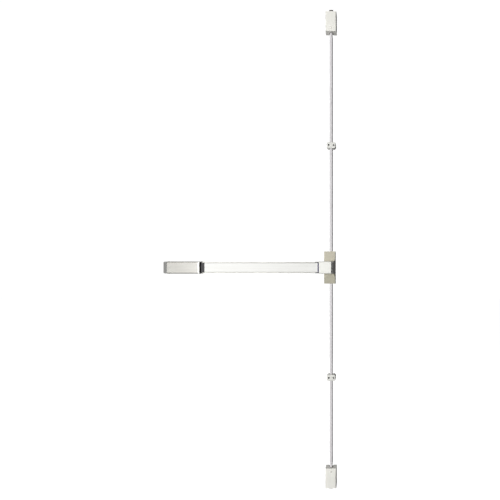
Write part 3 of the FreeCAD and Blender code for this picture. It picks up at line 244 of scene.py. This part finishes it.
# Pad ends: moulded caps that close the pad. The left one is black, stepped and sloped, and
# its edges are rounded as a moulding's are. The right one has a black lip at each corner, and
# leans to violet in between.
moulded_black_plastic = grained("moulded_black_plastic", "302F31", "232224", (1.2, 1.2, 1.2),
                                metallic=0.0, roughness=0.5, relief=0.03)
moulded_violet_plastic = grained("moulded_violet_plastic", "1A181E", "100E13", (1.2, 1.2, 1.2),
                                 metallic=0.0, roughness=0.55, relief=0.03,
                                 tint_and_painted_shade=([((0, 0, 1), -0.0195), ((0, 0, -1), -0.0195)], "30265C"))
dress(moulded_violet_plastic, "pad_right_plug")
cap_outline = np.array([(-538.0, -59.0), (-551.0, -54.0), (-551.0, -47.5), (-558.8, -47.0),
                        (-558.8, -41.0), (-538.0, -41.0)])
cap_grid = np.empty((2, len(cap_outline), 3))
cap_grid[..., :2] = cap_outline
cap_grid[..., 2] = [[-20.7], [20.7]]
left_cap = skin("pad_left_cap", [cap_grid], moulded_black_plastic, "pad")
rounding = left_cap.modifiers.new("moulded_edges", "BEVEL")
rounding.width = 0.0009
rounding.segments = 3
rounding.limit_method = "ANGLE"
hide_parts("pad_left_plug")

# Nose: a bright cap over the bar's near end, flat in front, sloped to the right, and set into the
# case cover's window. Cast in zinc, polished, and coated like the pad. Its slope is painted dark
# grey as painted shade, but for a strip along the fold and its two corners.
polished_white_enamel = grained("polished_white_enamel", "EFEFE9", "E9E9E3", (4, 4, 80),
                                metallic=0.0, roughness=0.32, relief=0.01,
                                tint_and_painted_shade=([((1, 0, 0), 0.0135), ((1, 0, -0.8), -0.0011),
                                        ((1, 0, 0.8), -0.0011)], "45453F"))
dress(polished_white_enamel, "nose_cover")

# Case cover: drawn steel in a warm grey-beige enamel, sprayed and slightly uneven, with painted
# light that makes it paler above the bar, and with two hollows that open towards the right edge
# beside the nose. Painted shade makes it dark in a wedge that widens from the nose's slope to the
# edge.
sprayed_beige_enamel = grained("sprayed_beige_enamel", "B9B5A3", "A5A18E", (2.5, 2.5, 2.5),
                               metallic=0.0, roughness=0.60, relief=0.03, cloud=35,
                               painted_light_fade=("Z", -0.02, 0.02, "CDC7B5"),
                               tint_and_painted_shade=([((0.8944, -0.4472, 0), 0.0329), ((1.05, 0, -1), -0.0077),
                                       ((1.05, 0, 1), -0.0077)], "4D4B43"))
dress(sprayed_beige_enamel, "head_cover")


# Screws of the case, the end housing and the latch cases: steel, pan head, cross recess,
# nickel plated. Their heads stand 1.8 mm out.
def rings(spot, way, angle, radii, heights):
    """Rings of points round the axis that runs from spot along way, one for each height. A
    point lies that height along the axis and a radius out from it, at its angle. A radius is
    one number, or an array with one for each angle."""
    side = np.roll(way, 1)
    spokes = np.cos(angle)[:, None] * side + np.sin(angle)[:, None] * np.cross(way, side)
    reach = np.stack([radius * np.ones(len(angle)) for radius in radii])
    return (np.array(spot) + np.outer(heights, way))[:, None] + reach[..., None] * spokes


def pan_screw(spot, way, shank):
    """Rings of a screw whose head sits at spot and faces way. The recess's edge at each angle
    is where a ray leaves the longer of the two crossing bars."""
    angle = np.linspace(0, 2 * np.pi, 72, endpoint=False)
    across = np.maximum(np.abs(np.cos(angle)), 1e-9)
    along = np.maximum(np.abs(np.sin(angle)), 1e-9)
    bar, half_width = 1.75, 0.5
    star = np.maximum(np.minimum(bar / across, half_width / along),
                      np.minimum(half_width / across, bar / along))
    return rings(spot, way, angle, [2, 2, 3.6, 3.6, 3.35, 2.8, 2.2, star, 0.72 * star],
                 [-shank, 0, 0, 0.7, 1.25, 1.6, 1.75, 1.8, 0.7])


nickel_plated_steel = grained("nickel_plated_steel", "E0DED8", "C4C2BC", (1.5, 1.5, 1.5),
                              metallic=0.85, roughness=0.28, relief=0.01, cloud=8)
case_screws = skin("case_screws", [pan_screw((side * 25, -10, end * 50), (side, 0, 0), shank=4.8)
                                   for side in (-1, 1) for end in (-1, 1)],
                   nickel_plated_steel, "door_side")
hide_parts("head_cover_screws")
housing_screws = skin("housing_screws", [pan_screw((-712, -8, end * 26.5), (0, 0, end), shank=3.8)
                                         for end in (-1, 1)],
                      nickel_plated_steel, "door_side")
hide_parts("end_housing_screws")
# Guides, latch cases and bolts are all centred on the rods' upright axis, this far from the
# case's middle and from the door
rod_x, rod_y = 6, -16
for end, height in (("top", 1057), ("bottom", -900)):
    latch_screw = skin(end + "_cover_screw",
                       [pan_screw((rod_x, -40.93, height), (0, -1, 0), shank=11.4)],
                       nickel_plated_steel, "door_side")
    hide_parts(end + "_latch_screw")

# Rod guides: two blocks cast in zinc, rounded all round, with a bore for the rod and two
# screw holes. Coated like the nose, so the front is white and the rounded rims turn grey.
coated_zinc_casting = grained("coated_zinc_casting", "EAEAE5", "E0E0DA", (6, 6, 6),
                              metallic=0.0, roughness=0.70, relief=0.02, specular=0.3)
dress(coated_zinc_casting, "upper_rod_guide", "lower_rod_guide")


# Guide screws: two socket screws with low button heads hold each guide to the door. Their
# blackened steel shows as two dark dots on the bright block.
def socket_screw(x, z):
    """Rings of a domed head on a guide's front face. Its socket is a hexagon, whose edge at
    each angle is the half width over the cosine of the angle left from the nearest flat."""
    angle = np.linspace(0, 2 * np.pi, 72, endpoint=False)
    half_width = 1.25
    socket = half_width / np.cos(angle % (np.pi / 3) - np.pi / 6)
    return rings((x, 0, z), (0, -1, 0), angle, [2.1, 2.1, 3.8, 3.8, 3.5, 2.8, socket, socket],
                 [22, 28, 28, 28.4, 29.2, 29.8, 30, 28.5])


blackened_steel = grained("blackened_steel", "1C1918", "0F0D0D", (1.5, 1.5, 1.5),
                          metallic=0.2, roughness=0.55, relief=0.01, cloud=8)
for end, height in (("upper", 543), ("lower", -489)):
    skin(end + "_guide_screws", [socket_screw(rod_x + side * 10.5, height) for side in (-1, 1)],
         blackened_steel, "door_side")

# Latch cases: drawn steel covers at the head and the foot of the door, flat and then
# sloped towards the rod, in a pale satin enamel with faint lines along the draw.
drawn_pale_enamel = grained("drawn_pale_enamel", "F9F8F2", "F0EFE7", (4, 4, 90),
                            metallic=0.0, roughness=0.62, relief=0.012, specular=0.3)
dress(drawn_pale_enamel, "top_latch_cover", "bottom_latch_cover")

# Rods: drawn hexagonal steel bar, 12 mm across its flats with rounded corners, and a
# threaded stud on the inner end. Sprayed with a satin silver lacquer that matches the bar,
# under which the draw lines run up and down: the lit flat is pale, the one turned away dark.
satin_silver_lacquer = grained("satin_silver_lacquer", "E7E4E6", "DCD9DB", (2.5, 2.5, 200),
                               metallic=0.0, roughness=0.50, relief=0.006, cloud=400,
                               specular=0.05)


def hex_bar(low, high, flats, corner):
    """Rings of an upright hexagonal bar on the rods' axis: at each corner a small arc round a
    point drawn in by the corner's radius, and a point 0.3 mm along the flat on either side,
    which keeps the flats' shading flat. Both ends are chamfered."""
    corners = np.radians(np.arange(6) * 60)[:, None]
    arcs = corners + np.radians(np.array([-30, -30, -15, 0, 15, 30, 30]))
    slide = np.array([-0.3, 0, 0, 0, 0, 0, 0.3])
    reach = (flats / 2 - corner) / math.cos(math.radians(30))
    outline = np.stack([reach * np.cos(corners) + corner * np.cos(arcs) - slide * np.sin(arcs),
                        reach * np.sin(corners) + corner * np.sin(arcs) + slide * np.cos(arcs)],
                       axis=-1).reshape(-1, 2)
    chamfer, shrink = 0.9, 0.88
    grid = np.empty((4, len(outline), 3))
    grid[..., :2] = np.array([shrink, 1, 1, shrink])[:, None, None] * outline + (rod_x, rod_y)
    grid[..., 2] = np.array([low, low + chamfer, high - chamfer, high])[:, None]
    return grid


def threaded(low, high, radius, pitch):
    """Rings of an upright stud on the rods' axis. The radius falls by 0.6 of the pitch in a
    V wherever height over pitch plus the share of a turn comes to half a turn."""
    angle = np.linspace(0, 2 * np.pi, 28, endpoint=False)
    heights = np.arange(low, high, pitch / 6)
    phase = (heights[:, None] / pitch + angle / (2 * np.pi)) % 1
    radii = radius - 0.6 * pitch * (1 - np.abs(2 * phase - 1))
    return rings((rod_x, rod_y, 0), (0, 0, 1), angle, radii, heights)


for end, low, high, stud in (("upper", 63, 1026, (41, 63.2)), ("lower", -869, -63, (-63.2, -41))):
    bar = skin(end + "_hexagon_rod", [hex_bar(low, high, flats=12, corner=0.7),
                                      threaded(*stud, radius=5, pitch=1.5)],
               satin_silver_lacquer, "rod_" + end)
    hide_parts(end + "_rod")

# Lock collars and studs: each rod ends in a turned collar that locks it to the threaded
# stud of its bolt. The collar has chamfered ends and a groove near the rod, and is
# lacquered with it. The stud stays bright.
turned_bright_steel = grained("turned_bright_steel", "E4E2DF", "C2C0BC", (8, 8, 0.6),
                              metallic=0.6, roughness=0.3, relief=0.02)
for end, body, low, high, groove, stud in (
        ("top", "rod_upper", 1026, 1051, 1030, (1008, 1107)),
        ("bottom", "rod_lower", -894, -869, -873, (-950, -851))):
    radii, heights = zip((4.55, low), (5.3, low), (6, low + 0.7), (6, groove - 0.8),
                         (5.5, groove - 0.3), (5.5, groove + 0.3), (6, groove + 0.8),
                         (6, high - 0.7), (5.3, high), (4.55, high))
    collar = skin(end + "_collar", [rings((rod_x, rod_y, 0), (0, 0, 1),
                                          np.linspace(0, 2 * np.pi, 56, endpoint=False),
                                          radii, heights)],
                  satin_silver_lacquer, body, ring=True)
    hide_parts(end + "_bolt_collar")
    bolt_stud = skin(end + "_threaded_stud", [threaded(*stud, radius=4.5, pitch=1.5)],
                     turned_bright_steel, body)
    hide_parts(end + "_bolt_stud")


# Bolts: square latch bolts of dark machined steel, 18 by 14 mm, bevelled in front so that
# the strike pushes them in. Their long edges are eased.
def square_bolt(near, far, tip):
    """Rings of a rounded rectangle, 18 by 14 mm: square over its body, and drawn back in
    front by 4 mm between far and tip."""
    width, depth, easing, rear = 18, 14, 1.2, -9
    signs = np.array([(1, 1), (-1, 1), (-1, -1), (1, -1)])[:, None]
    arcs = np.radians(np.linspace(0, 90, 5) + np.array([[0], [90], [180], [270]]))
    outline = (signs * (width / 2 - easing, depth / 2 - easing)
               + easing * np.stack([np.cos(arcs), np.sin(arcs)], axis=-1)).reshape(-1, 2)
    back = outline[:, 1] - depth / 2
    grid = np.empty((4, len(outline), 3))
    grid[..., 0] = rod_x + outline[:, 0] * np.array([0.93, 1, 1, 0.97])[:, None]
    grid[..., 1] = rear + back * np.array([1, 1, 1, (depth - 4) / depth])[:, None]
    grid[..., 2] = np.array([near, near + np.sign(tip) * 0.6, far, tip])[:, None]
    return grid


# Blackened steel with the milling cutter's marks across it, 1.6 mm apart
blackened_milled_steel = grained("blackened_milled_steel", "4A4240", "2B2524", (12, 12, 1.6),
                                 metallic=0.6, roughness=0.38, relief=0.03, cloud=20)
for end, body, near, far, tip in (("top", "rod_upper", 1093, 1143, 1147),
                                  ("bottom", "rod_lower", -936, -980, -984)):
    bolt = skin(end + "_square_bolt", [square_bolt(near, far, tip)], blackened_milled_steel,
                body)
    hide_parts(end + "_bolt")


# Springs: wound spring wire with a dead turn at each end. One returns the link bar, and
# one behind each bolt throws it. They shorten by 14 mm when the pad is pressed.
def wound(start, way, length, radius, wire, turns):
    """Rings of a wire that follows a helix. Its rise per turn is one wire in the first and the
    last turn and even in between. Each ring lies across the wire's own direction."""
    turn = np.linspace(0, turns, turns * 26 + 1)
    rate = np.clip(np.minimum(turn, turns - turn) - 0.8, 0, 0.4) / 0.4
    rise = np.cumsum(np.concatenate([[0], (rate[1:] + rate[:-1]) / 2]))
    rise = wire / 2 + turn / turns * 2 * wire + rise / rise[-1] * (length - 3 * wire)
    angle = 2 * np.pi * turn
    side = np.roll(way, 1)
    out = np.cos(angle)[:, None] * side + np.sin(angle)[:, None] * np.cross(way, side)
    middle = np.array(start) + radius * out + np.outer(rise, way)
    along = np.gradient(middle, axis=0)
    along /= np.linalg.norm(along, axis=1, keepdims=True)
    across = np.cross(along, out)
    round_wire = np.linspace(0, 2 * np.pi, 12, endpoint=False)
    return middle[:, None] + wire / 2 * (np.cos(round_wire)[None, :, None] * out[:, None]
                                         + np.sin(round_wire)[None, :, None] * across[:, None])


oiled_spring_wire = grained("oiled_spring_wire", "8E8B88", "5F5C5B", (3, 3, 3),
                            metallic=0.9, roughness=0.32, relief=0.01, cloud=10)
return_coil = skin("return_coil", [wound((-661, -17.5, 0), (1, 0, 0), length=49, radius=6,
                                         wire=1.4, turns=10)],
                   oiled_spring_wire, "door_side")
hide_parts("return_spring")
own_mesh(return_coil)
for end, joint, start, way in (("top", "upper_rod_stroke", 1061, 1),
                               ("bottom", "lower_rod_stroke", -904, -1)):
    bolt_coil = skin(end + "_bolt_coil", [wound((rod_x, rod_y, start), (0, 0, way), length=32,
                                                radius=6.9, wire=1.2, turns=9)],
                     oiled_spring_wire, "door_side")
    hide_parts(end + "_bolt_spring")
    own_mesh(bolt_coil)

# Plates, brackets and linkage: pressed steel, zinc plated and passivated. The plating is
# pale grey with patches that lean to blue or to straw.
zinc_plated_steel = grained("zinc_plated_steel", "C8CACC", "ABA996", (5, 5, 5),
                            metallic=0.75, roughness=0.38, relief=0.02, cloud=22)
dress(zinc_plated_steel, "head_chassis", "base_rail", "left_crank_bracket",
      "right_crank_bracket", "left_pad_bracket", "right_pad_bracket", "link_bar", "spring_stop",
      "end_bracket", "upper_lever", "lower_lever")

# Latch bases: pressed steel, phosphated a dull dark grey, which makes the latches' openings
# look black round the rods.
phosphated_steel = grained("phosphated_steel", "5A5854", "44423F", (3, 3, 3),
                           metallic=0.3, roughness=0.6, relief=0.02, cloud=20)
dress(phosphated_steel, "top_latch_base", "bottom_latch_base")

# Cranks and rod slides: sintered steel, steam treated to a darker grey, with the powder's
# grain still on the surface.
sintered_steel = grained("sintered_steel", "8F8E8B", "6E6D6B", (1.0, 1.0, 1.0),
                         metallic=0.8, roughness=0.46, relief=0.05, cloud=15)
dress(sintered_steel, "left_crank", "right_crank", "upper_rod_slide", "lower_rod_slide")

# Pins, posts, clips, nuts, rivets and hidden screws: bright turned or headed steel, which
# only the open back and the bolts' windows show.
bright_headed_steel = grained("bright_headed_steel", "CBC9C6", "A6A4A1", (2, 2, 2),
                              metallic=0.85, roughness=0.3, relief=0.01, cloud=8)
dress(bright_headed_steel, "left_crank_pad_pin", "right_crank_pad_pin", "crank_pivot_pins",
      "lever_posts", "lever_clips", "upper_lever_pins", "lower_lever_pins", "spring_guide_pin",
      "rail_rivets", "channel_screws", "upper_rod_lock_nut", "lower_rod_lock_nut")

# Pad buffers: four blocks of matt black rubber glued to the rail, which take the pad's
# blow at the end of its stroke.
matt_black_rubber = grained("matt_black_rubber", "2A2A2A", "191919", (0.8, 0.8, 0.8),
                            metallic=0.0, roughness=0.75, relief=0.05, cloud=12)
dress(matt_black_rubber, "pad_buffers")


# Studio: white paper, laid out as a floor just under the lower bolt and hung up 12 m behind
# the door's plane, in a white surround. Camera and reflections see both as white, while
# little light comes back from them to the device. The floor glows a little less near it,
# where its shadow falls, and further out melts into the surround.
def seen_directly(tree):
    """1 for camera, glossy and transmission rays, and 0 for the rays that carry light."""
    path = add_node(tree, "LightPath")
    mirrored = add_node(tree, "Math", {0: (path, "Is Glossy Ray"),
                                       1: (path, "Is Transmission Ray")}, operation="MAXIMUM")
    return add_node(tree, "Math", {0: (path, "Is Camera Ray"), 1: (mirrored, "Value")},
                    operation="MAXIMUM")


# Camera and reflections see the lit sheet, and other light meets the dull one
white_paper = bpy.data.materials.new("white_paper")
white_paper.use_nodes = True
paper = white_paper.node_tree
paper.nodes.clear()
sheet = add_node(paper, "BsdfDiffuse", {"Color": linear("C8C8C8")})
dull_sheet = add_node(paper, "BsdfDiffuse", {"Color": linear("848484")})
place = add_node(paper, "TexCoord")
away = add_node(paper, "VectorMath", {0: (place, "Object")}, operation="LENGTH")
whiter = add_node(paper, "MapRange", {"Value": (away, "Value"), "From Min": 1.2,
                                      "From Max": 3.5, "To Min": 0.93, "To Max": 1.0})
glow = add_node(paper, "Emission", {"Color": linear("FFFFFF"), "Strength": (whiter, "Result")})
lit = add_node(paper, "AddShader", {0: (sheet, "BSDF"), 1: (glow, "Emission")})
either = add_node(paper, "MixShader", {0: (seen_directly(paper), "Value"),
                                       1: (dull_sheet, "BSDF"), 2: (lit, "Shader")})
add_node(paper, "OutputMaterial", {"Surface": (either, "Shader")})
# Height of the floor, half its width, and the wall's place and top, in metres
level, half, wall, top = -0.986, 14, 12, 12
floor_mesh = bpy.data.meshes.new("floor")
floor_mesh.from_pydata([(-half, -half, level), (half, -half, level), (half, wall, level),
                        (-half, wall, level), (half, wall, top), (-half, wall, top)],
                       [], [(0, 1, 2, 3), (3, 2, 4, 5)])
floor_mesh.materials.append(white_paper)
floor = bpy.data.objects.new("floor", floor_mesh)
bpy.context.scene.collection.objects.link(floor)

world = bpy.data.worlds.new("surround")
bpy.context.scene.world = world
world.use_nodes = True
sky = world.node_tree
sky.nodes.clear()
shade = add_node(sky, "Background", {"Color": linear("FFFFFF"), "Strength": 0.035})
plain = add_node(sky, "Background", {"Color": linear("FFFFFF"), "Strength": 1.0})
chosen = add_node(sky, "MixShader", {0: (seen_directly(sky), "Value"),
                                     1: (shade, "Background"), 2: (plain, "Background")})
add_node(sky, "OutputWorld", {"Surface": (chosen, "Shader")})

# Lamps: a wide softbox behind the camera on the bar's side, which gives the bright flat
# faces, a weaker one high up, so that upper faces stay lighter, and one behind the device,
# which only the back and the sides see.
for name, place, aim, wide, high, power in (
        ("front_softbox", (-2.1, -3.8, 0.0), (-0.2, 0, 0), 2.8, 1.9, 187),
        ("high_softbox", (-0.7, -1.6, 2.4), (-0.1, 0, 0.2), 1.6, 1.2, 8),
        ("back_softbox", (-0.4, 2.6, 0.6), (-0.2, 0, 0.1), 2.0, 2.4, 22)):
    lamp_data = bpy.data.lights.new(name, "AREA")
    lamp_data.shape = "RECTANGLE"
    lamp_data.size = wide
    lamp_data.size_y = high
    lamp_data.energy = power
    lamp = bpy.data.objects.new(name, lamp_data)
    lamp.location = place
    toward = np.array(aim, float) - np.array(place, float)
    tilt = math.pi / 2 + math.atan2(toward[2], math.hypot(toward[0], toward[1]))
    yaw = math.atan2(-toward[0], toward[1])
    lamp.rotation_euler = (tilt, 0, yaw)
    bpy.context.scene.collection.objects.link(lamp)
